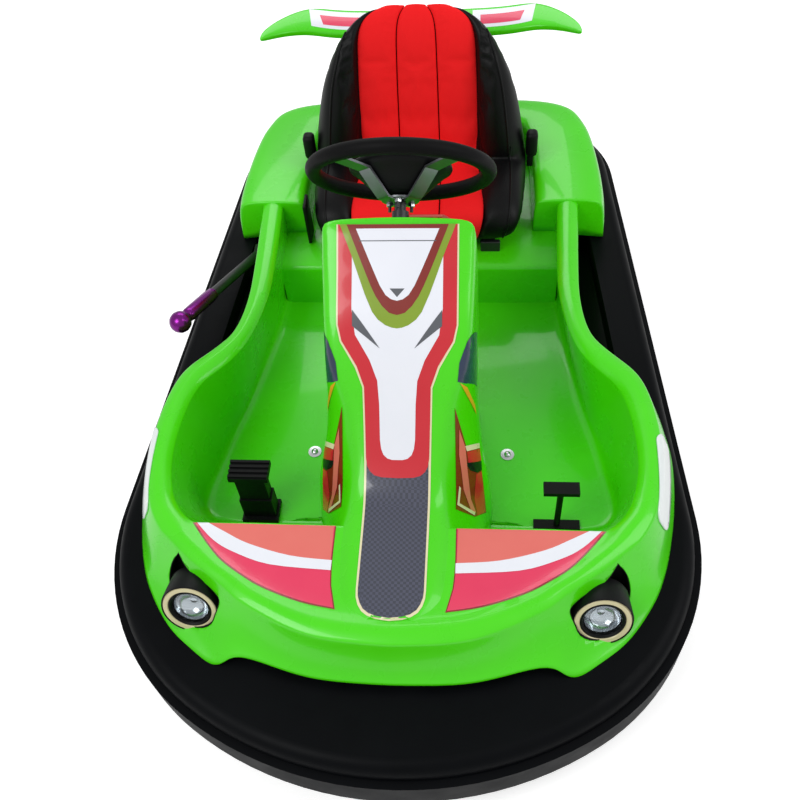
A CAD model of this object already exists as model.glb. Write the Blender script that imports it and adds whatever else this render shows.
# %% [markdown]
# # A rental racing kart inside its bumper ring
# The kart is a thin green glass-fibre body on a steel frame, with a rubber bumper all the way round. The
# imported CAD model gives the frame: every piece below is in metres in that same frame, so nothing has to
# be fitted by eye. First the model is loaded and its own size is kept for the end.

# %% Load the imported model
from math import cos, pi, radians, sin

import bmesh
import bpy
from mathutils import Matrix, Vector
from mathutils.bvhtree import BVHTree


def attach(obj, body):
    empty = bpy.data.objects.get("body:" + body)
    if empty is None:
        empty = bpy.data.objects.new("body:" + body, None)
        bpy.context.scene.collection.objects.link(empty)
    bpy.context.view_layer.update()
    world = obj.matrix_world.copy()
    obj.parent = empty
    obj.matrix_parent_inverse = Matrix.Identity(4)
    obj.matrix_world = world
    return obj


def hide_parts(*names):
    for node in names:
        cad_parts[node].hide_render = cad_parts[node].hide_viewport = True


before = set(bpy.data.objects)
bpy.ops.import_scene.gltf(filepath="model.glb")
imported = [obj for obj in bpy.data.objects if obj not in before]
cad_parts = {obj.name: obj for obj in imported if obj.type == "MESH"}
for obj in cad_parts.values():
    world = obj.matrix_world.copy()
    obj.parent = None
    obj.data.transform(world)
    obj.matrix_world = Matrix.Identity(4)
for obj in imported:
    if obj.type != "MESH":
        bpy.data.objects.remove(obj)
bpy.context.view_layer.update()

# %% [markdown]
# ## Camera and light
# The camera stands in front of the nose, high up and a little to the kart's left. Its three axes were
# worked out from the mirror symmetry of the kart, so they are set as a matrix rather than as angles. The
# light is a soft white room with two large panels. A glossy body needs large light shapes to reflect.
# Camera rays see white, so the background is white without any more light on the kart.

# %% Camera
camera = bpy.data.objects.new("camera", bpy.data.cameras.new("camera"))
camera_place = Vector((0.145, -1.273, 1.754))
camera_back = Vector((0.0855, -0.5957, 0.7986)).normalized()
camera_right = Vector((-0.0104, 0.8010, 0.5986)).cross(camera_back).normalized()
camera_up = camera_back.cross(camera_right)
camera.matrix_world = Matrix.Translation(camera_place) @ Matrix(
    (camera_right, camera_up, camera_back)).transposed().to_4x4()
camera.data.lens = 42.165
camera.data.clip_end = 60
bpy.context.scene.collection.objects.link(camera)
bpy.context.scene.camera = camera
bpy.context.scene.view_settings.view_transform = "Standard"
print("lens", camera.data.lens, "mm")


# %% Colour and node helpers
def linear(code):
    """Turns an sRGB hex colour to the linear one that a shader socket takes."""
    parts = [int(code[i:i + 2], 16) / 255 for i in (1, 3, 5)]
    return [c / 12.92 if c <= 0.04045 else ((c + 0.055) / 1.055) ** 2.4 for c in parts] + [1.0]


def feed(tree, node, inputs):
    """Fills inputs of a node: each with a value, or with another node's output to link."""
    for key, value in inputs.items():
        if isinstance(value, bpy.types.NodeSocket):
            tree.links.new(value, node.inputs[key])
        else:
            node.inputs[key].default_value = value


def add(tree, kind, inputs=None, **settings):
    """Adds one node with its settings and its inputs."""
    node = tree.nodes.new(kind)
    for key, value in settings.items():
        setattr(node, key, value)
    feed(tree, node, inputs or {})
    return node


def blend(tree, share, first, second):
    """Mixes two hex colours by a share from 0 to 1; returns the output."""
    colours = {0: share, 6: linear(first), 7: linear(second)}
    return add(tree, "ShaderNodeMix", colours, data_type="RGBA").outputs[2]


# %% Studio
def white_for_the_eye(tree, lit, seen):
    """Mixes two shaders: what lights the kart, and what camera and glass rays see."""
    path = add(tree, "ShaderNodeLightPath")
    rays = {0: path.outputs["Is Camera Ray"], 1: path.outputs["Is Transmission Ray"]}
    either = add(tree, "ShaderNodeMath", rays, operation="MAXIMUM")
    return add(tree, "ShaderNodeMixShader", {0: either.outputs[0], 1: lit.outputs[0], 2: seen.outputs[0]})


world = bpy.data.worlds.new("studio")
bpy.context.scene.world = world
world.use_nodes = True
world.node_tree.nodes.clear()
room = add(world.node_tree, "ShaderNodeBackground", {"Color": linear("#ffffff"), "Strength": 0.62})
backdrop = add(world.node_tree, "ShaderNodeBackground", {"Color": linear("#ffffff"), "Strength": 1.0})
mixed = white_for_the_eye(world.node_tree, room, backdrop)
add(world.node_tree, "ShaderNodeOutputWorld", {"Surface": mixed.outputs[0]})

# name, place, width, height, power, aimed at
panels = (
    ("key_panel", (-1.6, -1.8, 2.9), 1.6, 1.6, 40, (0, -0.1, 0.2)),
    ("side_panel", (2.2, -0.4, 2.2), 1.2, 2.2, 22, (0, 0, 0.3)),
    ("back_panel", (-0.4, 2.4, 2.4), 2.2, 1.0, 18, (0, 0.2, 0.4)),
)
for name, place, width, height, power, target in panels:
    light = bpy.data.lights.new(name, "AREA")
    light.shape = "RECTANGLE"
    light.size = width
    light.size_y = height
    light.energy = power
    panel = bpy.data.objects.new(name, light)
    panel.matrix_world = Matrix.Translation(place) @ (
        (Vector(place) - Vector(target)).to_track_quat("Z", "Y").to_matrix().to_4x4())
    bpy.context.scene.collection.objects.link(panel)
print(len(panels), "light panels")

# %% [markdown]
# ## Finishes
# Most pieces are one plain stuff: moulded, sprayed or rolled. A table gives each its colour, gloss and
# grain, and one loop builds them, since they differ only in numbers. Each has a faint change of tone and
# of gloss over the surface, because no real surface is even, and a bump at its grain size.

# %% Plain finish
paint = {}
cloud_size = 0.060


def new_stuff(name, rough, metal=0, coat=0):
    """Starts a material; returns its node tree, its shader and the Object coordinates."""
    paint[name] = bpy.data.materials.new(name)
    paint[name].use_nodes = True
    tree = paint[name].node_tree
    shader = tree.nodes["Principled BSDF"]
    feed(tree, shader, {"Roughness": rough, "Metallic": metal, "Coat Weight": coat, "Coat Roughness": 0.04})
    return tree, shader, add(tree, "ShaderNodeTexCoord").outputs["Object"]


def plain_finish(name, colour, tone, rough, metal, coat, grain, bump):
    """A stuff with a cloud of two tones, gloss that follows the cloud, and a grain in mm."""
    tree, shader, place = new_stuff(name, rough, metal, coat)
    cloud = add(tree, "ShaderNodeTexNoise", {"Vector": place, "Scale": 1 / cloud_size, "Detail": 4.0})
    worn = add(tree, "ShaderNodeMapRange", {"Value": cloud.outputs["Fac"], "From Min": 0.3, "From Max": 0.7,
                                            "To Min": rough * 0.9, "To Max": rough * 1.12})
    fine = add(tree, "ShaderNodeTexNoise", {"Vector": place, "Scale": 1000 / grain, "Detail": 2.0})
    relief = add(tree, "ShaderNodeBump", {"Height": fine.outputs["Fac"], "Distance": bump / 1000,
                                          "Strength": 0.6})
    feed(tree, shader, {"Base Color": blend(tree, cloud.outputs["Fac"], colour, tone),
                        "Roughness": worn.outputs[0], "Normal": relief.outputs[0]})


# %% Table of plain finishes
# name, colour, second tone, roughness, metallic, coat, grain in mm, bump in mm
finishes = (
    # Gelcoat, moulded glossy and buffed: deep colour under a clear skin with a faint ripple
    ("gelcoat_green", "#45d602", "#4ddb08", 0.28, 0, 0.35, 28, 0.10),
    # Rubber, moulded in a blasted tool: dull, almost black, with a soft sheen
    ("rubber_moulded", "#040507", "#07090c", 0.46, 0, 0, 1.6, 0.10),
    # Tyre rubber, cured and scuffed by the floor
    ("rubber_tyre", "#131313", "#1c1b1a", 0.78, 0, 0, 2.2, 0.20),
    # Steel tube, powder coated satin black
    ("steel_powder_coated", "#17181a", "#1e1f21", 0.42, 0, 0.1, 1.2, 0.06),
    # Steel, turned and lightly oiled
    ("steel_bright", "#b9bbbd", "#a3a5a8", 0.28, 1, 0, 0.9, 0.02),
    # Steel strap, cold rolled and brushed grey
    ("steel_brushed", "#8d9094", "#777a7e", 0.38, 1, 0, 1.4, 0.03),
    # Wheel rim, cast aluminium with a silver enamel
    ("rim_enamel", "#a9adb1", "#9a9ea3", 0.35, 0.6, 0.3, 1.8, 0.04),
    # ABS, injection moulded in a spark-eroded tool
    ("abs_black", "#08090a", "#0d0e0f", 0.44, 0, 0, 0.9, 0.06),
    # Polyurethane foam rim with a moulded leather grain
    ("foam_grip", "#070708", "#0b0b0c", 0.55, 0, 0, 1.7, 0.18),
    # Acrylic plate, cast and gloss white
    ("acrylic_white", "#e9efee", "#e3eae9", 0.18, 0, 0.4, 30, 0.02),
    # Aluminium, turned and anodised purple
    ("aluminium_purple", "#8a2f8f", "#7a2480", 0.26, 1, 0, 1.0, 0.02),
    # Silicone lead, extruded
    ("silicone_red", "#d8625c", "#cf5952", 0.40, 0, 0, 1.5, 0.03),
    # Motor casing, cast and painted grey
    ("iron_painted", "#4b4f53", "#44484c", 0.55, 0, 0, 2.0, 0.12),
    # Battery case, moulded polypropylene
    ("polypropylene_grey", "#34373a", "#3b3e41", 0.50, 0, 0, 1.4, 0.08),
    # Zinc-plated steel, stamped and bright
    ("zinc_plated", "#d3d6d8", "#c2c6c9", 0.24, 1, 0, 1.2, 0.02),
    # Lamp halo, ivory diffuser moulded in polycarbonate
    ("diffuser_ivory", "#d8cfa6", "#cfc598", 0.34, 0, 0.2, 6, 0.02),
    # Reflector, vacuum metallised
    ("reflector_metallised", "#c9cccf", "#b9bcc0", 0.16, 1, 0, 4, 0.02),
)
for row in finishes:
    plain_finish(*row)
# Rough black stuffs send back less light than a smooth plastic does, and so does the gelcoat under its skin
shine = {"rubber_moulded": 0.07, "rubber_tyre": 0.2, "foam_grip": 0.1, "abs_black": 0.16,
         "gelcoat_green": 0.35}
for name, level in shine.items():
    paint[name].node_tree.nodes["Principled BSDF"].inputs["Specular IOR Level"].default_value = level
print(len(paint), "plain finishes")

# %% [markdown]
# ## Tools for making pieces
# A moulded body is drawn as a few long lines: the floor edge, the top of the wall, the crest and the hem.
# Bridging keeps every measured point on the surface, which sculpting or pulling a box about would not.

# %% Modelling helpers
sides = ((1, "left"), (-1, "right"))


def mm(x, y, z):
    """A point given in millimetres."""
    return Vector((x, y, z)) / 1000


def through(points, steps):
    """A smooth line through points: Catmull-Rom, with the ends held."""
    points = [Vector(p) for p in points]
    line = []
    for i in range(len(points) - 1):
        before = points[max(i - 1, 0)]
        a, b = points[i], points[i + 1]
        after = points[min(i + 2, len(points) - 1)]
        for k in range(steps):
            t = k / steps
            line.append(0.5 * (2 * a + (b - before) * t + (2 * before - 5 * a + 4 * b - after) * t ** 2
                               + (3 * a - before - 3 * b + after) * t ** 3))
    return line + [points[-1]]


def flat_curve(points, steps):
    """A smooth line through points of a flat drawing."""
    return through([(x, y, 0) for x, y in points], steps)


def chain(bm, points, closed=False):
    """New vertices joined in a row by edges; closed joins the last to the first."""
    verts = [bm.verts.new(p) for p in points]
    pairs = zip(verts, verts[1:] + verts[:1]) if closed else zip(verts, verts[1:])
    return [bm.edges.new(pair) for pair in pairs]


def skin(bm, lines, closed=False):
    """Bridges each line of points to the next; returns the chains of edges."""
    chains = [chain(bm, line, closed) for line in lines]
    for a, b in zip(chains, chains[1:]):
        bmesh.ops.bridge_loops(bm, edges=a + b)
    return chains


def mirror_x(bm):
    """Adds the other half, across the middle plane."""
    bmesh.ops.mirror(bm, geom=bm.verts[:] + bm.edges[:] + bm.faces[:], axis="X", merge_dist=0.0005)


def placed(name, bm):
    """Puts a bmesh into the scene as an object."""
    mesh = bpy.data.meshes.new(name)
    bm.to_mesh(mesh)
    bm.free()
    piece = bpy.data.objects.new(name, mesh)
    bpy.context.scene.collection.objects.link(piece)
    return piece


def rounded(piece, levels):
    """Subdivides a piece, alike in the viewport and in the render."""
    smooth = piece.modifiers.new("rounds", "SUBSURF")
    smooth.levels = levels
    smooth.render_levels = levels


def surface(piece):
    """A piece's finished surface, as a tree that rays can be cast on."""
    return BVHTree.FromObject(piece, bpy.context.evaluated_depsgraph_get())


def finish(name, bm, body, material, replaces=(), wall=0, rounds=0, sharp=40):
    """Turns a bmesh into a piece: wall is a shell thickness in metres, rounds the levels of subdivision."""
    bmesh.ops.remove_doubles(bm, verts=bm.verts, dist=0.00002)
    bmesh.ops.recalc_face_normals(bm, faces=bm.faces)
    piece = placed(name, bm)
    piece.data.shade_smooth()
    piece.data.set_sharp_from_angle(angle=radians(sharp))
    piece.data.materials.append(paint[material])
    if rounds:
        rounded(piece, rounds)
    if wall:
        shell = piece.modifiers.new("wall", "SOLIDIFY")
        shell.thickness = wall
        shell.offset = -1
    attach(piece, body)
    if replaces:
        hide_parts(*replaces)
    print(name, len(piece.data.polygons), "faces before modifiers")
    return piece


# %% [markdown]
# ## The green body
# The cockpit, nose and fenders are one glass-fibre moulding. A row of the two tables is one station, from
# the middle of the nose round the fender to the pod. Their columns are the lines that the eye follows:
# floor edge, rear edge of the deck, foot of the crest and crest, then brow, concave band, shelf and hem.
# Only half is drawn; the other half is mirrored, as the mould maker would do.

# %% Body stations
floor_z, edge_z, crest_z, brow_z = 118, 314, 328, 319
# floor x y, edge x y, foot x y z, crest x y
cockpit_side = (
    (0, -375, 0, -474, 0, -640, 312, 0, -668),
    (130, -375, 118, -474, 125, -624, 312, 128, -656),
    (240, -375, 222, -473, 215, -590, 312, 232, -612),
    (290, -375, 268, -473, 262, -560, 313, 276, -584),
    (325, -375, 304, -474, 298, -538, 314, 312, -560),
    (352, -373, 330, -475, 326, -515, 315, 342, -534),
    (380, -368, 356, -476, 358, -492, 317, 374, -506),
    (398, -358, 382, -460, 388, -464, 322, 404, -474),
    (412, -335, 411, -418, 419, -420, 323, 435, -426),
    (415, -300, 429, -340, 437, -340, 324, 453, -341),
    (405, -245, 427, -250, 435, -249, 324, 453, -247),
    (388, -165, 408, -166, 415, -162, 323, 432, -152),
    (372, -100, 357, -104, 364, -100, 322, 380, -90),
    (360, -40, 326, -40, 332, -38, 322, 345, -34),
    (345, 55, 306, 62, 312, 62, 322, 328, 62),
    (325, 190, 304, 180, 310, 180, 322, 328, 180),
    (311, 362, 313, 362, 318, 362, 322, 338, 362),
)
# brow x y, band x y z, shelf x y z, hem x y z
outer_side = (
    (0, -694, 0, -702, 284, 0, -716, 254, 0, -731, 240),
    (132, -681, 132, -691, 284, 133, -708, 254, 133, -724, 240),
    (246, -629, 250, -645, 284, 254, -670, 252, 256, -690, 240),
    (288, -597, 296, -622, 272, 304, -665, 230, 304, -699, 217),
    (324, -572, 338, -592, 268, 347, -636, 224, 350, -672, 217),
    (358, -545, 386, -562, 268, 398, -604, 224, 402, -629, 217),
    (398, -510, 424, -526, 262, 438, -552, 228, 448, -564, 217),
    (424, -484, 448, -499, 265, 462, -508, 230, 471, -514, 217),
    (452, -432, 474, -443, 265, 484, -447, 230, 490, -449, 217),
    (470, -342, 492, -344, 265, 502, -345, 230, 508, -346, 217),
    (472, -244, 495, -238, 265, 505, -234, 230, 510, -231, 217),
    (450, -141, 465, -130, 265, 472, -126, 230, 474, -124, 217),
    (398, -79, 405, -72, 262, 407, -70, 210, 407, -70, 170),
    (362, -28, 368, -25, 260, 369, -24, 190, 369, -24, 125),
    (347, 62, 353, 62, 260, 354, 62, 190, 354, 62, 122),
    (349, 180, 356, 180, 260, 357, 180, 190, 357, 180, 122),
    (358, 362, 365, 362, 260, 366, 362, 190, 366, 362, 122),
)
print(len(cockpit_side), "stations on each side")

# %% Body moulding
cove = 32
cockpit_middle = mm(0, -60, floor_z)
rows = []
for cockpit_row, outer_row in zip(cockpit_side, outer_side):
    fx, fy, ex, ey, dx, dy, dz, cx, cy = cockpit_row
    bx, by, nx, ny, nz, sx, sy, sz, hx, hy, hz = outer_row
    floor = mm(fx, fy, floor_z)
    edge = mm(ex, ey, edge_z)
    inward = (cockpit_middle - floor).normalized() * cove / 1000
    low = floor.lerp(edge, 0.10)
    low.z = (floor_z + cove) / 1000
    foot, crest, brow, band = mm(dx, dy, dz), mm(cx, cy, crest_z), mm(bx, by, brow_z), mm(nx, ny, nz)
    # A point close to the deck edge or the brow on each side holds its round tight
    rows.append((Vector((0, (floor + inward).y, floor.z)), floor + inward, floor, low,
                 edge.lerp(low, 0.05), edge, edge.lerp(foot, 0.06), foot, crest,
                 brow.lerp(crest, 0.25), brow, brow.lerp(band, 0.15), band, mm(sx, sy, sz), mm(hx, hy, hz)))
bm = bmesh.new()
skin(bm, [through(line, 3) for line in zip(*rows)])
mirror_x(bm)
body = finish("body_moulding", bm, "chassis", "gelcoat_green",
              ("cockpit_tub", "nose_cowl"), wall=0.004, rounds=2, sharp=180)

# %% [markdown]
# ## Rear pods and tail
# A flat-topped pod covers each rear wheel and the tail joins the two. The side rail runs into the pod at
# the same height, so they read as one moulding. A row gives the inner and the outer edge of the flat top;
# the loop adds the walls and a line close to each edge, because two close lines hold a round tight when
# the surface is subdivided. The front is closed by one face with an inset, for the same reason.

# %% Rear body
pod_front = 352
# inner edge x y, outer edge x y
rear_stations = (
    (261, pod_front, 415, pod_front),
    (261, 400, 418, 402),
    (260, 480, 415, 486),
    (257, 560, 405, 582),
    (248, 616, 390, 646),
    (228, 640, 358, 704),
    (170, 651, 280, 733),
    (85, 655, 140, 742),
    (0, 656, 0, 744),
)
# share of the way from inner to outer edge, mm further in that direction, height
pod_lines = ((0, 0, 235), (0, 0, 312), (0, 8, 326), (0.5, 0, 329), (1, -12, 326), (1, 0, 312),
             (1, 7, 268), (1, 9, 217))
bm = bmesh.new()
lines = []
for share, past, z in pod_lines:
    line = []
    for ix, iy, ox, oy in rear_stations:
        inner, outer = mm(ix, iy, z), mm(ox, oy, z)
        line.append(inner.lerp(outer, share) + (outer - inner).normalized() * past / 1000)
    lines.append(through(line, 4))
skin(bm, lines)
front = [v for v in bm.verts if abs(v.co.y - pod_front / 1000) < 1e-5]
made = bmesh.ops.contextual_create(bm, geom=front + [e for e in bm.edges if set(e.verts) <= set(front)])
bmesh.ops.inset_region(bm, faces=made["faces"], thickness=0.007)
mirror_x(bm)
finish("rear_moulding", bm, "chassis", "gelcoat_green", ("rear_body",),
       wall=0.004, rounds=2, sharp=180)

# %% [markdown]
# ## Aprons
# A strip of rubber sheet closes the gap between each side rail and the bumper, so the floor doesn't show
# through. A plane could be cut to fit by hand; here its two edges are found by casting rays, one inward to
# the rail and one outward to the bumper, and one bridge makes the sheet. The rays start inside the rubber,
# just past the bumper's inner face, so the sheet runs on through it to near the outer face.

# %% Aprons
apron_z, apron_front = 168, -40
cast_x = 425
behind_rail_x = 372
play = 0.002
rail_surface, bumper_surface = surface(body), surface(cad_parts["bumper_ring"])
# The lever stands in the right-hand gap, so that apron ends in front of it; the left one runs under the pod
for (side, label), last, end in zip(sides, (345, 262), (412, 270)):
    outward = Vector((side, 0, 0))
    edges = [[], []]
    for y in (*range(apron_front, last + 1, 5), end):
        start = mm(side * cast_x, y, apron_z)
        inner = rail_surface.ray_cast(start, -outward)[0] or mm(side * behind_rail_x, y, apron_z)
        outer = bumper_surface.ray_cast(start, outward)[0]
        edges[0].append(inner + outward * play)
        edges[1].append(outer - outward * play)
    bm = bmesh.new()
    skin(bm, edges)
    finish("gap_apron_" + label, bm, "chassis", "rubber_moulded", wall=0.003, sharp=60)

# %% [markdown]
# ## Seat platform
# The platform is the step that carries the seat. Only its front and its top show, so instead of a box it
# is one bent profile, bridged across the kart. Two more points round its front edge.

# %% Seat platform
profile = ((236, 112), (236, 222), (239, 231), (248, 235), (400, 235), (655, 235))
platform_lines = (-316, -150, 150, 316)
bm = bmesh.new()
skin(bm, [[mm(x, y, z) for y, z in profile] for x in platform_lines])
finish("seat_platform_moulding", bm, "chassis", "gelcoat_green", ("seat_platform",),
       sharp=60)

# %% [markdown]
# ## Console
# The steering console climbs from a low spine on the deck to a broad sloping face under the wheel. Each
# row of its table is a section across the kart: middle of the top, top edge, shoulder, side and foot. It
# could be sculpted from a box, but sections keep its measured edges, and the subdivision rounds them.

# %% Console
# x y z of the middle, the edge, the shoulder, the side and the foot
console_stations = (
    (0, -64, 430, 126, -64, 430, 134, -66, 430, 138, -72, 300, 139, -75, 118),
    (0, -62, 644, 128, -64, 640, 137, -70, 622, 140, -88, 380, 140, -92, 118),
    (0, -74, 646, 127, -78, 642, 138, -86, 626, 140, -100, 380, 140, -104, 118),
    (0, -130, 599, 125, -134, 595, 137, -142, 578, 139, -136, 360, 141, -136, 118),
    (0, -194, 551, 121, -198, 547, 134, -205, 530, 138, -186, 330, 150, -184, 118),
    (0, -245, 499, 111, -248, 495, 125, -255, 478, 145, -246, 308, 159, -240, 118),
    (0, -294, 443, 82, -296, 440, 98, -303, 422, 154, -292, 312, 167, -290, 118),
    (0, -340, 396, 71, -342, 393, 90, -347, 376, 164, -328, 279, 171, -326, 118),
    (0, -384, 357, 68, -386, 355, 89, -389, 340, 152, -368, 222, 169, -366, 112),
    (0, -428, 333, 68, -428, 331, 90, -428, 319, 116, -424, 272, 160, -424, 186),
    (0, -472, 326, 68, -472, 325, 88, -472, 317, 98, -472, 309, 112, -474, 292),
    (0, -560, 325, 67, -560, 324, 84, -560, 317, 93, -560, 311, 106, -560, 306),
    (0, -615, 325, 60, -612, 324, 76, -618, 317, 85, -624, 312, 98, -632, 306),
    (0, -652, 325, 30, -646, 324, 40, -658, 318, 48, -666, 314, 56, -676, 308),
)
bm = bmesh.new()
lines = [through([mm(*row[i:i + 3]) for row in console_stations], 3) for i in range(0, 15, 3)]
lines.insert(1, [a.lerp(b, 0.55) for a, b in zip(lines[0], lines[1])])
skin(bm, lines)
mirror_x(bm)
console = finish("console_moulding", bm, "chassis", "gelcoat_green", ("console",),
                 wall=0.004, rounds=2, sharp=180)

# %% [markdown]
# ## Lamp niches
# Each lamp stands in a niche under the brow: round below, where it follows the lamp, and drawn out to a
# point above. A mould maker would cut it through the finished skin and close it from behind with a dark
# liner. The same is done here. The outline is drawn in a plane that leans with the skin, a Boolean takes
# it out of the skin, and the liner runs from the cut edge back to a flat floor. The Boolean is baked, so
# the cutter can go.

# %% Niche outline
niche_place = mm(350, -592, 243)
niche_aim = Vector((0.12, -0.83, 0.54)).normalized()
niche_out = Vector((0, 0, 1)).cross(niche_aim).normalized()
niche_up = niche_aim.cross(niche_out)
# mm outward and upward in the plane of the niche: along the brow to the point, then down the fender
brow_side = ((-48, 0), (-55, 22), (-54, 37), (-30, 50), (-2, 57), (17, 66), (36, 86))
fender_side = ((36, 86), (53, 58), (58, 27), (50, 4), (43, -16))
below = [(47 * cos(radians(a)), 37 * sin(radians(a))) for a in range(330, 190, -15)]
flat = flat_curve(brow_side, 4) + flat_curve(fender_side, 4)[1:] + [Vector((x, y, 0)) for x, y in below]
niche = [niche_place + (niche_out * p.x + niche_up * p.y) / 1000 for p in flat]
print(len(niche), "points round a niche")


# %% Cut the niches and line them
def baked(piece):
    """Replaces a piece's mesh by what its modifiers make of it."""
    made = piece.evaluated_get(bpy.context.evaluated_depsgraph_get())
    mesh = bpy.data.meshes.new_from_object(made)
    mesh.name = piece.name
    piece.modifiers.clear()
    piece.data = mesh


niche_deep, cutter_proud = 0.046, 0.12
ray_start, tuck = 0.2, 0.001
uncut = surface(body)
for side, label in sides:
    flip = Vector((side, 1, 1))
    aim = niche_aim * flip
    outline = [p * flip for p in niche]
    bm = bmesh.new()
    ends = skin(bm, [[p - aim * niche_deep for p in outline], [p + aim * cutter_proud for p in outline]],
                closed=True)
    for end in ends:
        bmesh.ops.edgeloop_fill(bm, edges=end)
    bmesh.ops.recalc_face_normals(bm, faces=bm.faces)
    cutter = placed("cutter", bm)
    mesh = cutter.data
    cut = body.modifiers.new("niche", "BOOLEAN")
    cut.object = cutter
    cut.solver = "EXACT"
    baked(body)
    bpy.data.objects.remove(cutter)
    bpy.data.meshes.remove(mesh)
    bm = bmesh.new()
    edge = [(uncut.ray_cast(p + aim * ray_start, -aim)[0] or p) - aim * tuck for p in outline]
    floor = [p - aim * niche_deep for p in outline]
    ends = skin(bm, [edge, floor], closed=True)
    bmesh.ops.edgeloop_fill(bm, edges=ends[-1])
    finish("lamp_niche_liner_" + label, bm, "chassis", "abs_black", wall=0.002, sharp=35)
print("body after the niches:", len(body.data.polygons), "faces")

# %% [markdown]
# ## Lamps
# A lamp is a stack of turned parts on one axis: a black sleeve, an ivory halo, a dark inner ring, a
# metallised bowl and a clear glass. Cylinders and rings would need cutting and joining; a spun profile gives
# each part its shoulders at once. One loop makes them on both sides from a table of profiles.

# %% Lamp glass and turning helper
tree, shader, place = new_stuff("polycarbonate_clear", 0.03)
cloud = add(tree, "ShaderNodeTexNoise", {"Vector": place, "Scale": 1 / 0.030})
feed(tree, shader, {"IOR": 1.58, "Transmission Weight": 1.0,
                    "Base Color": blend(tree, cloud.outputs["Fac"], "#f2f6f8", "#e9f0f2")})


def turned(bm, profile, place, axis, steps=48):
    """Spins a profile of radius and height in mm about an axis through place."""
    axis = Vector(axis).normalized()
    side = axis.orthogonal().normalized()
    edges = chain(bm, [Vector(place) + (side * r + axis * h) / 1000 for r, h in profile])
    verts = list({v for e in edges for v in e.verts})
    bmesh.ops.spin(bm, geom=verts + edges, cent=place, axis=axis, angle=2 * pi, steps=steps, use_merge=True)


# %% Lamps
lamp_place = mm(352, -609, 261)
lamp_aim = Vector((0.04, -0.92, 0.38)).normalized()
# name, finish, slot, CAD node it stands for, profile of radius and height
lamp_parts = (
    ("sleeve", "abs_black", "black_plastic", "lamp_",
     ((0, -46), (46, -46), (51.5, -42), (51.5, 9), (50.5, 12), (49.5, 12.5), (48.8, 11), (48.5, 6),
      (48, -24), (0, -24))),
    ("halo", "diffuser_ivory", "white_plate", None,
     ((48.5, 2), (48.5, 10), (47, 12), (40, 12), (38.5, 10), (38.5, 2), (48.5, 2))),
    ("inner_ring", "abs_black", "black_plastic", None,
     ((38.5, -20), (38.5, 10.5), (36, 11.5), (33, 9), (31, -2), (32.5, -20), (38.5, -20))),
    ("bowl", "reflector_metallised", "bare_steel", None,
     ((31, 2), (28, -8), (20, -16), (8, -20), (6, -12), (0, -11), (0, -22), (21, -20), (30, -10), (31, 2))),
    ("glass", "polycarbonate_clear", "lamp_glass", "lamp_lens_",
     ((0, 9), (10, 8.4), (21, 6.4), (31, 3), (31, 1), (21, 4.2), (10, 6.2), (0, 6.8))),
)
for side, label in sides:
    flip = Vector((side, 1, 1))
    for name, stuff, slot, node, profile in lamp_parts:
        bm = bmesh.new()
        turned(bm, profile, lamp_place * flip, lamp_aim * flip)
        finish("lamp_" + name + "_" + label, bm, "chassis", stuff,
               (node + label,) if node else (), sharp=35)

# %% [markdown]
# ## Seat materials
# The bolsters are leatherette: cloth under a skin of PVC, which a roller has embossed with small cells.
# The middle is woven polyester with a fine warp and weft. Both patterns use Object coordinates, so they
# need no UV map.

# %% Leatherette and woven cloth
tree, shader, place = new_stuff("leatherette_embossed", 0.42)
cell = 2.4
cells = add(tree, "ShaderNodeTexVoronoi", {"Vector": place, "Scale": 1000 / cell}).outputs["Distance"]
relief = add(tree, "ShaderNodeBump", {"Height": cells, "Distance": 0.0003, "Strength": 0.5}, invert=True)
feed(tree, shader, {"Specular IOR Level": 0.18, "Base Color": blend(tree, cells, "#08090a", "#030304"),
                    "Normal": relief.outputs[0]})

tree, shader, place = new_stuff("polyester_woven", 0.8)
# The real thread is about 0.8 mm; it is drawn at 2.4 mm so that it shows. A wave of scale 1 is 0.314 m long.
thread, wave_long = 0.0024, 0.314
weft = add(tree, "ShaderNodeTexWave", {"Vector": place, "Scale": wave_long / thread, "Distortion": 0.6},
           bands_direction="X")
# Turned by 45 degrees, one direction serves for the level cushion and for the upright back
leant = add(tree, "ShaderNodeMapping", {"Vector": place, "Rotation": (radians(45), 0, 0)})
warp = add(tree, "ShaderNodeTexWave", {"Vector": leant.outputs[0], "Scale": wave_long * 2 ** 0.5 / thread,
                                       "Distortion": 0.6}, bands_direction="Z")
crossing = {0: weft.outputs["Fac"], 1: warp.outputs["Fac"]}
weave = add(tree, "ShaderNodeMath", crossing, operation="MULTIPLY").outputs[0]
relief = add(tree, "ShaderNodeBump", {"Height": weave, "Distance": 0.0004, "Strength": 0.4})
feed(tree, shader, {"Specular IOR Level": 0.2, "Base Color": blend(tree, weave, "#ee1218", "#ff2426"),
                    "Normal": relief.outputs[0]})
print("seat stuffs ready")

# %% [markdown]
# ## Seat
# The seat is a bucket: a cushion and a back in one, with thick side bolsters. It is drawn as rings along
# a spine that runs from the front of the cushion, through the bend, to the top of the back. A row gives
# the spine point, half the red panel, half the whole width, how far the bolster rises and how thick the
# seat is. Rings hold the width at each height, which a single bent sheet would not.

# %% Seat spine
# y, z, red half, outer half, bolster rise, thickness
seat_spine = (
    (290, 268, 132, 205, 5, 40),
    (280, 300, 140, 222, 12, 62),
    (297, 333, 148, 232, 22, 72),
    (375, 341, 148, 238, 32, 78),
    (448, 336, 142, 241, 42, 80),
    (482, 354, 138, 241, 52, 74),
    (496, 420, 136, 233, 56, 66),
    (513, 515, 133, 213, 46, 60),
    (526, 572, 130, 190, 36, 56),
    (538, 615, 127, 166, 24, 50),
    (552, 644, 118, 141, 12, 42),
    (565, 660, 98, 114, 5, 34),
    (577, 669, 66, 80, 2, 26),
)


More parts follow.
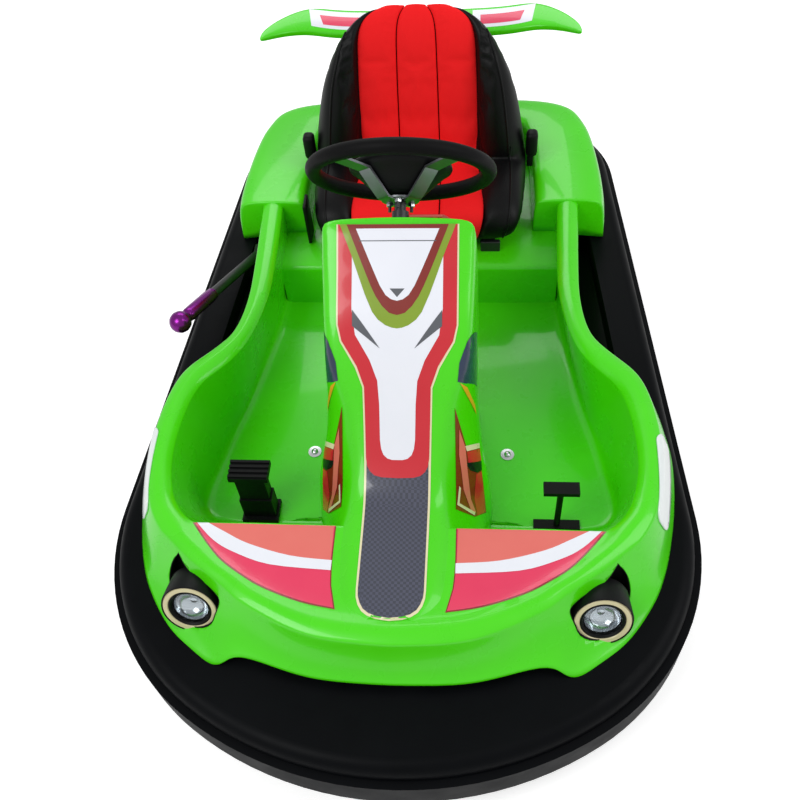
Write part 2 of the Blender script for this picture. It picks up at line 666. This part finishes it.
def spine_frames(rows):
    """Each spine row as its point and the direction out of the seat."""
    points = [mm(0, row[0], row[1]) for row in rows]
    frames = []
    for i, point in enumerate(points):
        along = (points[min(i + 1, len(points) - 1)] - points[max(i - 1, 0)]).normalized()
        frames.append((point, Vector((0, -along.z, along.y))))
    return frames


def seat_ring(point, out, half):
    """A closed ring from a right half of x and rise, mirrored to the left."""
    right = [point + Vector((x / 1000, 0, 0)) + out * d / 1000 for x, d in half]
    left = [point + Vector((-x / 1000, 0, 0)) + out * d / 1000 for x, d in reversed(half) if x > 0]
    return right + left


def closed_skin(bm, rings):
    """Bridges closed rings and fills the first and the last."""
    ends = skin(bm, rings, closed=True)
    for end in (ends[0], ends[-1]):
        bmesh.ops.edgeloop_fill(bm, edges=end)


bm = bmesh.new()
rings = []
for (point, out), (_, _, red, wide, rise, thick) in zip(spine_frames(seat_spine), seat_spine):
    roll = wide - red
    half = ((0, -6), (red * 0.6, -6), (red - 2, -6), (red + 0.04 * roll, 0.5 * rise),
            (red + 0.22 * roll, 0.92 * rise), ((red + wide) / 2 + 0.1 * roll, rise),
            (wide - 0.14 * roll, 0.72 * rise), (wide, 0.1 * rise - 6), (wide - 3, -0.55 * thick),
            (wide - 26, -thick), (0, -thick))
    rings.append(seat_ring(point, out, half))
closed_skin(bm, rings)
cover = finish("seat_cover", bm, "chassis", "leatherette_embossed", ("seat_shell",), rounds=3,
               sharp=180)

# %% [markdown]
# ## Stuffing the seat
# Cloth simulation gives the stuffed look. The red middle is three strips, each glued to the foam below it
# and at its two seams, and the pressure of the foam lifts it between them. The bolsters swell in the same
# way. A cap keeps any point from moving far, and the result is written to the mesh, so no simulation
# stays on the piece.

# %% Red strips and the simulation
strips = 3
across = 14
seam_gap = 0.12
bm = bmesh.new()
fine_spine = [tuple(v) for v in zip(*[[p.x for p in through([(row[i], 0, 0) for row in seat_spine], 6)]
                                      for i in range(6)])]
for strip in range(strips):
    rings = []
    for (point, out), (_, _, red, *_) in zip(spine_frames(fine_spine), fine_spine):
        width = 2 * red / strips
        left = -red + strip * width + seam_gap
        inside = width - 2 * seam_gap
        top = [(left + inside * (k / across), 3.5 + 5 * sin(pi * k / across) ** 0.6)
               for k in range(across + 1)]
        under = [(left + inside, -8), (left, -8)]
        rings.append([point + Vector((x / 1000, 0, 0)) + out * d / 1000 for x, d in top + under])
    closed_skin(bm, rings)
red_panel = finish("seat_red_panel", bm, "chassis", "polyester_woven", ("seat_insert",),
                   sharp=180)


def stuffed(piece, glued, pressure, cap):
    """Blows a piece up as cloth that is held where glued is true; no point moves further than cap."""
    held = piece.vertex_groups.new(name="glued")
    held.add([v.index for v in piece.data.vertices if glued(v)], 1.0, "REPLACE")
    start = [v.co.copy() for v in piece.data.vertices]
    cloth = piece.modifiers.new("stuffing", "CLOTH")
    cloth.settings.vertex_group_mass = held.name
    cloth.settings.use_pressure = True
    cloth.settings.uniform_pressure_force = pressure
    cloth.settings.shrink_min = -0.012
    cloth.settings.effector_weights.gravity = 0
    for step in range(1, 21):
        bpy.context.scene.frame_set(step)
    swollen = piece.evaluated_get(bpy.context.evaluated_depsgraph_get()).data
    moves = [v.co - a for v, a in zip(swollen.vertices, start)]
    furthest = max(m.length for m in moves)
    piece.modifiers.remove(cloth)
    for v, a, move in zip(piece.data.vertices, start, moves):
        v.co = a + move * min(1, cap / max(move.length, 1e-9))
    bpy.context.scene.frame_set(1)
    print(piece.name, "moved up to", round(furthest * 1000, 1), "mm before the cap")


def glued_strip(v):
    """True at the seams and the underside of a red strip, which are the same points of each ring."""
    return v.index % (across + 3) in (0, across, across + 1, across + 2)


def glued_cover(v):
    """True under the red panel, at the back and underneath."""
    return abs(v.co.x) < 0.137 or v.normal.y > 0.35 or v.normal.z < -0.35


baked(cover)
for piece, glued in ((red_panel, glued_strip), (cover, glued_cover)):
    stuffed(piece, glued, pressure=3, cap=0.005)
for piece, fill in ((red_panel, 0.7), (cover, 0.85)):
    rounded(piece, 1)

# %% [markdown]
# ## Piping and seat fittings
# A thin cord is sewn in along each bolster. A curve with a round bevel makes such a cord, and it is then
# turned to a mesh. Its points are cast on the finished cover, so it lies on the leatherette. Runners and
# buckles are plain rounded boxes, because little of them shows.

# %% Piping
def tube(name, points, radius, body, material):
    """Sweeps a round section along a line: a curve with a bevel, made a mesh."""
    curve = bpy.data.curves.new(name, "CURVE")
    curve.dimensions = "3D"
    curve.bevel_depth = radius
    curve.bevel_resolution = 3
    curve.use_fill_caps = True
    line = curve.splines.new("POLY")
    line.points.add(len(points) - 1)
    for spot, point in zip(line.points, points):
        spot.co = (*point, 1)
    draft = bpy.data.objects.new(name, curve)
    bpy.context.scene.collection.objects.link(draft)
    bm = bmesh.new()
    bm.from_mesh(bpy.data.meshes.new_from_object(draft.evaluated_get(bpy.context.evaluated_depsgraph_get())))
    bpy.data.objects.remove(draft)
    bpy.data.curves.remove(curve)
    finish(name, bm, body, material, sharp=60)


leather = surface(cover)
rings_in_front = 4
for side, label in sides:
    line = []
    for (point, out), (_, _, red, wide, *_) in zip(spine_frames(fine_spine), fine_spine):
        start = point + Vector((side * (0.45 * red + 0.55 * wide + 10) / 1000, 0, 0)) + out * 0.2
        hit = leather.ray_cast(start, -out)[0]
        if hit:
            line.append(hit + out * 0.0008)
    tube("bolster_piping_" + label, line[rings_in_front:], 0.0024, "chassis",
         "leatherette_embossed")


# %% Seat fittings
def block(bm, centre, size, soft, segments=3):
    """A box in mm with its edges rounded by soft mm."""
    made = bmesh.ops.create_cube(bm, size=1, matrix=Matrix.Translation(mm(*centre)) @ Matrix.Diagonal(
        (size[0] / 1000, size[1] / 1000, size[2] / 1000, 1)))
    edges = list({e for v in made["verts"] for e in v.link_edges})
    bmesh.ops.bevel(bm, geom=edges, offset=soft / 1000, segments=segments, profile=0.5, affect="EDGES",
                    material=-1)


bm = bmesh.new()
for side, _ in sides:
    block(bm, (side * 158, 418, 248), (34, 244, 26), 3)
    block(bm, (side * 164, 292, 246), (44, 12, 34), 3)
finish("seat_runners", bm, "chassis", "steel_powder_coated", sharp=35)
bm = bmesh.new()
for side, _ in sides:
    block(bm, (side * 255, 480, 386), (26, 30, 62), 9)
    block(bm, (side * 253, 480, 346), (14, 20, 40), 3)
block(bm, (-253, 330, 296), (8, 46, 112), 3)
finish("belt_buckles", bm, "chassis", "abs_black", sharp=35)

# %% [markdown]
# ## Wing
# The wing is a thin blade with forward-swept tips. Each ring is a section of the blade across its chord.
# A bent plane with a thickness would be quicker, but rings keep the edge thin and round along the sweep.

# %% Wing
# x, leading y z, trailing y z, thickness
wing_stations = (
    (0, 682, 532, 756, 553, 18),
    (150, 682, 532, 756, 554, 18),
    (215, 681, 538, 756, 560, 18),
    (262, 679, 549, 755, 568, 17),
    (312, 657, 558, 714, 572, 14),
    (345, 626, 568, 666, 576, 11),
    (359, 607, 575, 630, 578, 6),
)
# share of the chord, share of half the thickness
upper = ((0, 0.55), (0.04, 0.9), (0.35, 1), (0.92, 0.6))
lower = ((0.92, -0.5), (0.35, -1), (0.04, -0.9), (0, -0.55))
bm = bmesh.new()
rings = []
for x, y0, z0, y1, z1, thick in wing_stations:
    lead, trail = mm(x, y0, z0), mm(x, y1, z1)
    up = Vector((0, 0, thick / 2000))
    top, foot = ([lead.lerp(trail, share) + up * part for share, part in half] for half in (upper, lower))
    rings.append(top + [trail] + foot)
ends = skin(bm, rings, closed=True)
bmesh.ops.edgeloop_fill(bm, edges=ends[-1])
mirror_x(bm)
wing = finish("wing_blade", bm, "chassis", "gelcoat_green", ("rear_wing",), rounds=2,
              sharp=180)

bm = bmesh.new()
for side, _ in reversed(sides):
    block(bm, (side * 150, 705, 430), (8, 50, 216), 2, segments=2)
finish("wing_struts", bm, "chassis", "steel_powder_coated", sharp=35)

# %% [markdown]
# ## Vinyl graphics and blank plates
# The graphics are self-adhesive vinyl, cut flat and laid on the moulding. `laid` does the same: it fills
# a flat outline, cuts it finely so that it can bend, and drops each point on the surface below along one
# direction. Layers are lifted a fraction of a millimetre each, so that the upper one always covers the
# lower.

# %% Vinyl helper
def laid(name, outline, toward, lift, material, targets, pitch=7.0, thick=0.0, mirrored=False,
         replaces=()):
    """Lays a flat outline on the nearest target along toward; lift and pitch are in mm."""
    toward = Vector(toward)
    ground = [surface(t) for t in targets]
    bm = bmesh.new()
    bmesh.ops.triangle_fill(bm, use_beauty=True, edges=chain(bm, outline, closed=True))
    for axis in range(3):
        if abs(toward[axis]) > 0.7:
            continue
        low = min(v.co[axis] for v in bm.verts)
        high = max(v.co[axis] for v in bm.verts)
        normal = Vector((axis == 0, axis == 1, axis == 2))
        for k in range(1, int((high - low) * 1000 / pitch) + 1):
            bmesh.ops.bisect_plane(bm, geom=bm.verts[:] + bm.edges[:] + bm.faces[:], dist=0.000001,
                                   plane_co=normal * (low + k * pitch / 1000), plane_no=normal)
    missed = []
    for v in bm.verts:
        hits = [h for h in (g.ray_cast(v.co - toward * 2, toward) for g in ground) if h[0]]
        if not hits:
            missed.append(v)
            continue
        place, normal, _, _ = min(hits, key=lambda h: h[3])
        if normal.dot(toward) > 0:
            normal = -normal
        v.co = place + normal * lift / 1000
    bmesh.ops.delete(bm, geom=missed, context="VERTS")
    if mirrored:
        mirror_x(bm)
    finish(name, bm, "chassis", material, replaces, wall=thick, sharp=60)


above = 1000


def plan(points):
    """Points of a plan in mm, at a height above everything."""
    return [mm(x, y, above) for x, y in points]


def half_outline(points):
    """A closed plan outline from its right half."""
    return plan(points) + plan([(-x, y) for x, y in reversed(points) if x > 0.01])


# name, colour, second tone: printed film, glossy, with the orange peel of its adhesive
films = (
    ("vinyl_cream", "#e9dfb8", "#e4d9ae"),
    ("vinyl_red", "#c81c2a", "#cf2431"),
    ("vinyl_white", "#eef0f8", "#e6e9f2"),
    ("vinyl_olive", "#7d9a1e", "#87a428"),
    ("vinyl_brown", "#7e1d12", "#86241a"),
    ("vinyl_grey", "#55585e", "#5c5f66"),
    ("vinyl_navy", "#23304a", "#2a3853"),
    ("vinyl_pink", "#e0305a", "#e83a60"),
    ("vinyl_coral", "#e06a62", "#e4746a"),
    ("vinyl_orange", "#e0a020", "#e8b030"),
    ("vinyl_black", "#101114", "#15171a"),
)
for name, colour, tone in films:
    plain_finish(name, colour, tone, rough=0.22, metal=0, coat=0.3, grain=9, bump=0.03)

# Film with a printed carbon twill; the real tow is 2 mm, drawn at 5 mm so that it shows
tree, shader, place = new_stuff("vinyl_carbon", 0.25, coat=0.6)
tow = add(tree, "ShaderNodeTexChecker", {"Vector": place, "Scale": 1 / 0.005, "Color1": linear("#363947"),
                                         "Color2": linear("#484b5d")})
relief = add(tree, "ShaderNodeBump", {"Height": tow.outputs["Fac"], "Distance": 0.0002, "Strength": 0.3})
feed(tree, shader, {"Base Color": tow.outputs["Color"], "Normal": relief.outputs[0]})
print(len(films) + 1, "printed films")

# %% Console graphics
down = (0, 0, -1)
film_base, film_step = 0.6, 0.25
# finish, layer, right half of the outline in plan
console_layers = (
    ("vinyl_cream", 1, ((0, -72), (106, -72), (106, -205), (100, -226), (74, -257), (61.5, -280),
                        (60, -333), (59, -385), (58.5, -600), (57.5, -614), (53.5, -627), (46.5, -638),
                        (36, -646), (22, -651), (0, -654))),
    ("vinyl_carbon", 2, ((0, -360), (55, -360), (55, -600), (54, -612), (50, -624), (44, -634),
                         (34, -642), (21, -647), (0, -650))),
    ("vinyl_red", 3, ((0, -72), (103, -72), (103, -205), (97, -225), (71, -255), (58.5, -279), (57, -333),
                      (56, -368), (54, -379), (49, -387), (41, -393), (28, -396), (0, -397))),
    ("vinyl_white", 4, ((0, -90), (79, -90), (79, -185), (73, -218), (48, -248), (35, -272), (32, -300),
                        (31, -344), (29, -356), (25, -364), (18, -369), (9, -371), (0, -371))),
    ("vinyl_olive", 5, ((0, -72), (100, -72), (79, -113), (56, -165), (43, -189), (33, -199), (20, -206),
                        (9, -209), (0, -210))),
    ("vinyl_brown", 6, ((0, -72), (88, -72), (46, -153), (37, -168), (26, -181), (14, -190), (6, -192),
                        (0, -193))),
    ("vinyl_white", 7, ((0, -77), (72, -77), (46, -124), (30, -153), (20, -166), (10, -172), (0, -174))),
    ("vinyl_grey", 8, ((0, -157), (13, -157), (0, -169))),
    ("vinyl_grey", 8, ((0, -92.5), (67, -92.5), (66.5, -93.7), (0, -93.7))),
)
for i, (stuff, layer, points) in enumerate(console_layers):
    laid("console_vinyl_%d" % i, half_outline(points), down, film_base + film_step * layer, stuff,
         (console, body), pitch=5)
shard = ((78, -186), (30, -234), (78, -207))
laid("console_shards", plan(shard), down, 2.0, "vinyl_grey", (console,), mirrored=True)

# %% Deck graphics
flat_step = 0.3
# finish, layer, curve in plan on the nose side, curve back on the cockpit side
deck_layers = (
    ("vinyl_brown", 1,
     ((363, -476), (332, -515), (298, -551), (256, -580), (214, -602), (151, -624), (91, -635)),
     ((102, -590), (105, -548), (105, -476))),
    ("vinyl_pink", 2,
     ((359, -476), (330, -513), (297, -548), (255, -577), (213, -599), (150, -621), (94, -632)),
     ((104, -590), (107, -548), (107, -476))),
    ("vinyl_coral", 3, ((338, -477), (300, -495), (256, -517), (180, -538), (108, -545)), ((109, -477),)),
    ("vinyl_white", 4, ((355, -476), (320, -510), (281, -532), (213, -554), (106, -562)),
     ((106, -543), (180, -536), (256, -515), (300, -494), (334, -476))),
)
for i, (stuff, layer, nose_curve, cockpit_curve) in enumerate(deck_layers):
    outline = plan([p.xy for curve in (nose_curve, cockpit_curve) for p in flat_curve(curve, 4)])
    laid("deck_vinyl_%d" % i, outline, down, flat_step * layer, stuff, (body,),
         mirrored=True)

# %% Console flanks
# The flank leans, so these films are drawn in plan at one height and laid along a slanting line.
flank_z = 300
aslant = Vector((0, 0.546, -0.838)).normalized()
# finish, layer, outline in plan at that height
flank_layers = (
    ("vinyl_brown", 1, ((100, -216), (121, -300), (144, -291), (148, -346), (152, -382), (158, -444),
                        (137, -450), (103, -430))),
    ("vinyl_cream", 2, ((118, -295), (143, -287), (144, -298), (121, -306))),
    ("vinyl_red", 2, ((121, -307), (144, -300), (147, -324), (125, -336))),
    ("vinyl_black", 3, ((118, -331), (147, -327), (148, -346), (140, -352), (127, -347))),
    ("vinyl_red", 2, ((138, -355), (148, -349), (151, -380), (156, -442), (141, -448), (135, -410))),
    ("vinyl_coral", 4, ((107, -260), (118, -298), (122, -347), (128, -410), (138, -441), (129, -437),
                        (115, -389), (111, -347), (107, -314))),
    ("vinyl_cream", 5, ((104, -421), (107, -381), (110, -385), (108, -418), (136, -440), (135, -447))),
    ("vinyl_navy", 1, ((137, -50), (121, -82), (108, -125), (105, -163), (117, -165), (138, -162))),
    ("vinyl_orange", 2, ((109, -165), (121, -172), (135, -206), (137, -225), (129, -206))),
)
for i, (stuff, layer, points) in enumerate(flank_layers):
    laid("flank_vinyl_%d" % i, [mm(x, y, flank_z) for x, y in points], aslant, film_base + film_step * layer,
         stuff, (console,), pitch=5, mirrored=True)

# %% Wing panels
# name, finish, layer, x from and to, y from and to
wing_films = (
    ("wing_panel", "vinyl_white", 1, 118, 252, 692, 744),
    ("wing_flash", "vinyl_pink", 2, 136, 226, 701, 728),
)
for name, stuff, layer, x0, x1, y0, y1 in wing_films:
    corners = plan(((x0, y0), (x1, y0), (x1 + 10, y1), (x0, y1)))
    laid(name, corners, down, flat_step * layer, stuff, (wing,), mirrored=True)

# %% Side plates
# The plate hangs over the brow, so it is drawn in a leaning plane and is laid at right angles to it.
corner = 20
plate_middle = mm(474, 0, 312)
rear_y, front_y = -272 - corner, -446 + corner
top, foot = 16 - corner, -46 + corner
plate_lean, plate_toward = Vector((-0.6, 0, 0.8)), Vector((-0.8, 0, -0.6))
for side, label in sides:
    flip = Vector((side, 1, 1))
    plate = []
    for y, rise, start in ((rear_y, top, 0), (front_y, top, 90), (front_y, foot, 180), (rear_y, foot, 270)):
        for k in range(6):
            angle = radians(start + 18 * k)
            spot = plate_lean * (rise + corner * sin(angle)) / 1000 + mm(0, y + corner * cos(angle), 0)
            plate.append((plate_middle + spot) * flip)
    laid("side_plate_blank_" + label, plate, plate_toward * flip, 3.2, "acrylic_white",
         (body,), thick=0.003, replaces=("side_plate_" + label,))

# %% [markdown]
# ## Steering wheel
# The camera sees the wheel from its front, so its underside shows: a steel hub plate, three straps bent
# up to the rim, a black pad in the middle and the bolts that hold the plate. All of it turns with the
# column, so each piece rides on the steering body. Rim and pad are turned; a strap is a flat strip that
# follows one bent line.

# %% Wheel axes
wheel_hub = mm(0, 0, 636)
wheel_rake = radians(55)
wheel_up = Vector((0, sin(wheel_rake), cos(wheel_rake)))
wheel_side = Vector((1, 0, 0))
wheel_low = wheel_up.cross(wheel_side)


def on_wheel(radius, turn, height, aside=0):
    """A point on the wheel in mm from its radius, its turn in degrees, its height and a step aside."""
    out = wheel_side * cos(radians(turn)) + wheel_low * sin(radians(turn))
    return wheel_hub + (out * radius + wheel_up.cross(out) * aside + wheel_up * height) / 1000


# %% Rim and pad
rim_radius, rim_height, grip_radius = 156, 53, 14
bm = bmesh.new()
turns = [radians(a) for a in range(0, 361, 18)]
ring = [(rim_radius + grip_radius * cos(a), rim_height + grip_radius * sin(a)) for a in turns]
turned(bm, ring, wheel_hub, wheel_up, steps=96)
finish("wheel_grip", bm, "steering", "foam_grip", ("steering_rim",), sharp=180)
bm = bmesh.new()
turned(bm, ((0, 8), (38, 9), (44, 13), (60, 29), (82, 48), (90, 53), (92, 57), (91, 62), (84, 67), (40, 71),
            (0, 72)), wheel_hub, wheel_up, steps=72)
finish("wheel_pad", bm, "steering", "abs_black", ("steering_pad",), sharp=40)

# %% Hub plate, straps, column and bolts
column_long = 268
bm = bmesh.new()
turned(bm, ((0, 0), (33, 0), (34, 1), (34, 4), (33, 5), (0, 5)), wheel_hub, wheel_up)
bend = flat_curve(((16, 2.5), (34, 3), (42, 8), (76, 41), (86, 46.5), (146, rim_height)), 4)
for turn in (-45, 90, 225):
    strap = bmesh.new()
    skin(strap, [[on_wheel(p.x, turn, p.y, aside) for p in bend] for aside in (-15, 15)])
    bmesh.ops.recalc_face_normals(strap, faces=strap.faces)
    bmesh.ops.solidify(strap, geom=strap.faces[:], thickness=0.004)
    sheet = bpy.data.meshes.new("strap")
    strap.to_mesh(sheet)
    strap.free()
    bm.from_mesh(sheet)
    bpy.data.meshes.remove(sheet)
finish("wheel_straps", bm, "steering", "steel_brushed", ("steering_column",), sharp=35)
bm = bmesh.new()
turned(bm, ((0, -column_long), (10, -column_long), (10, -1), (0, -1)), wheel_hub, wheel_up, steps=32)
finish("column_shaft", bm, "steering", "steel_powder_coated", sharp=35)
wheel_axes = Matrix((wheel_side, wheel_low, wheel_up)).transposed().to_4x4()
bolt_circle = 23
nuts = bmesh.new()
shanks = bmesh.new()
for turn in (35, 150, 265):
    for bm, height, radius, deep, segments in ((nuts, -3, 0.0065, 0.006, 6), (shanks, -10, 0.003, 0.012, 16)):
        spot = Matrix.Translation(on_wheel(bolt_circle, turn, height)) @ wheel_axes
        bmesh.ops.create_cone(bm, cap_ends=True, segments=segments, radius1=radius, radius2=radius,
                              depth=deep, matrix=spot)
finish("wheel_nuts", nuts, "steering", "zinc_plated", sharp=30)
finish("wheel_bolt_shanks", shanks, "steering", "steel_powder_coated", sharp=30)

# %% [markdown]
# ## Drift lever grip and floor screws
# The lever ends in a turned and anodised grip with a ball. Two screws with wide washers hold the floor to
# the frame. Both are made as on a lathe, because one spun profile gives the neck, the ball and every edge
# round.

# %% Grip and screws
lever_foot = mm(-380.25, 300, 216)
lever_end = lever_foot + mm(-95, -315, 114)
bm = bmesh.new()
turned(bm, ((0, 23), (9, 21.2), (16.5, 16), (21.4, 8.5), (23, 0), (21.4, -8.5), (16.5, -16), (11.5, -20),
            (11, -25), (14, -29), (15, -36), (15, -120), (13.5, -124), (13.5, -132), (0, -132)),
       lever_end, lever_end - lever_foot, steps=40)
finish("drift_grip_turned", bm, "chassis", "aluminium_purple", ("drift_grip",), sharp=40)
bm = bmesh.new()
screw = ((0, 7), (4, 6.6), (6.5, 4.5), (7, 2), (14, 1.6), (14, 0), (0, 0))
for side, _ in sides:
    turned(bm, screw, mm(side * 202, -192, floor_z + 0.2), (0, 0, 1), steps=24)
finish("floor_screws", bm, "chassis", "zinc_plated", sharp=35)

# %% [markdown]
# ## Tyres
# Each tyre is one profile turned about its axle: bead, bulged wall, round shoulder and a tread with three
# grooves. A torus would be quicker, but it has no shoulder. The profile is worked out from the tyre's own
# radius and width, so one loop makes all four.

# %% Tyres
# label, body, axle place, radius, width
tyres = (
    ("front_left", "wheel_fl", (270, -550, 100), 100, 76),
    ("front_right", "wheel_fr", (-270, -550, 100), 100, 76),
    ("rear_left", "rear", (320, 490, 120), 120, 92),
    ("rear_right", "rear", (-320, 490, 120), 120, 92),
)
groove_deep = 3.5
for label, carrier, place, radius, wide in tyres:
    low = radius - groove_deep
    groove = wide * 0.22
    wall = wide / 2
    half = [(low, 0), (low, 2.5), (radius, 3), (radius, groove - 3), (low, groove - 2.5), (low, groove + 2.5),
            (radius, groove + 3), (radius - 1, wall - 12), (radius - 4, wall - 6), (radius - 11, wall - 1),
            (radius - 20, wall), (70, wall - 1), (66, wall - 4), (63.2, wall - 5)]
    profile = [(r, -h) for r, h in reversed(half[1:])] + half
    bm = bmesh.new()
    turned(bm, profile + [profile[0]], mm(*place), (1, 0, 0), steps=64)
    finish("tyre_grooved_" + label, bm, carrier, "rubber_tyre", ("tyre_" + label,), sharp=35)

# %% [markdown]
# ## Finishes for the pieces that stay as CAD solids
# Frame, axles and bumper are true solids already. They could be built again as meshes, but nothing would
# be gained, so they only get a finish by name.

# %% Finish the CAD solids
# finish, first words of the node names
solids = (
    ("rubber_moulded", ("bumper_ring", "nose_panel")),
    ("steel_powder_coated", ("bumper_hoop", "frame_rail", "cross_member", "front_beam", "drift_lever",
                             "steering_post")),
    ("steel_bright", ("knuckle", "track_rod", "drop_shaft", "rear_axle")),
    ("rim_enamel", ("rim_front",)),
    ("abs_black", ("accelerator", "brake")),
    ("silicone_red", ("lead",)),
    ("iron_painted", ("motor",)),
    ("polypropylene_grey", ("battery",)),
)
for finish_name, starts in solids:
    for name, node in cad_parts.items():
        if name.startswith(starts):
            node.data.materials.clear()
            node.data.materials.append(paint[finish_name])
print(len(solids), "finishes on CAD solids")

# %% [markdown]
# ## Floor
# The pale floor keeps the kart's shadow. For the camera it gets a little glow of its own, so that it
# reads as white where the light falls on it.

# %% Floor
tree, matt, _ = new_stuff("floor_white", 0.9)
feed(tree, matt, {"Base Color": linear("#f4f4f4")})
glow = add(tree, "ShaderNodeEmission", {"Color": linear("#ffffff"), "Strength": 0.45})
both = add(tree, "ShaderNodeAddShader", {0: matt.outputs[0], 1: glow.outputs[0]})
mixed = white_for_the_eye(tree, matt, both)
feed(tree, tree.nodes["Material Output"], {"Surface": mixed.outputs[0]})
bm = bmesh.new()
bmesh.ops.create_grid(bm, x_segments=1, y_segments=1, size=12)
ground = placed("floor", bm)
ground.data.materials.append(paint["floor_white"])
print("floor laid")
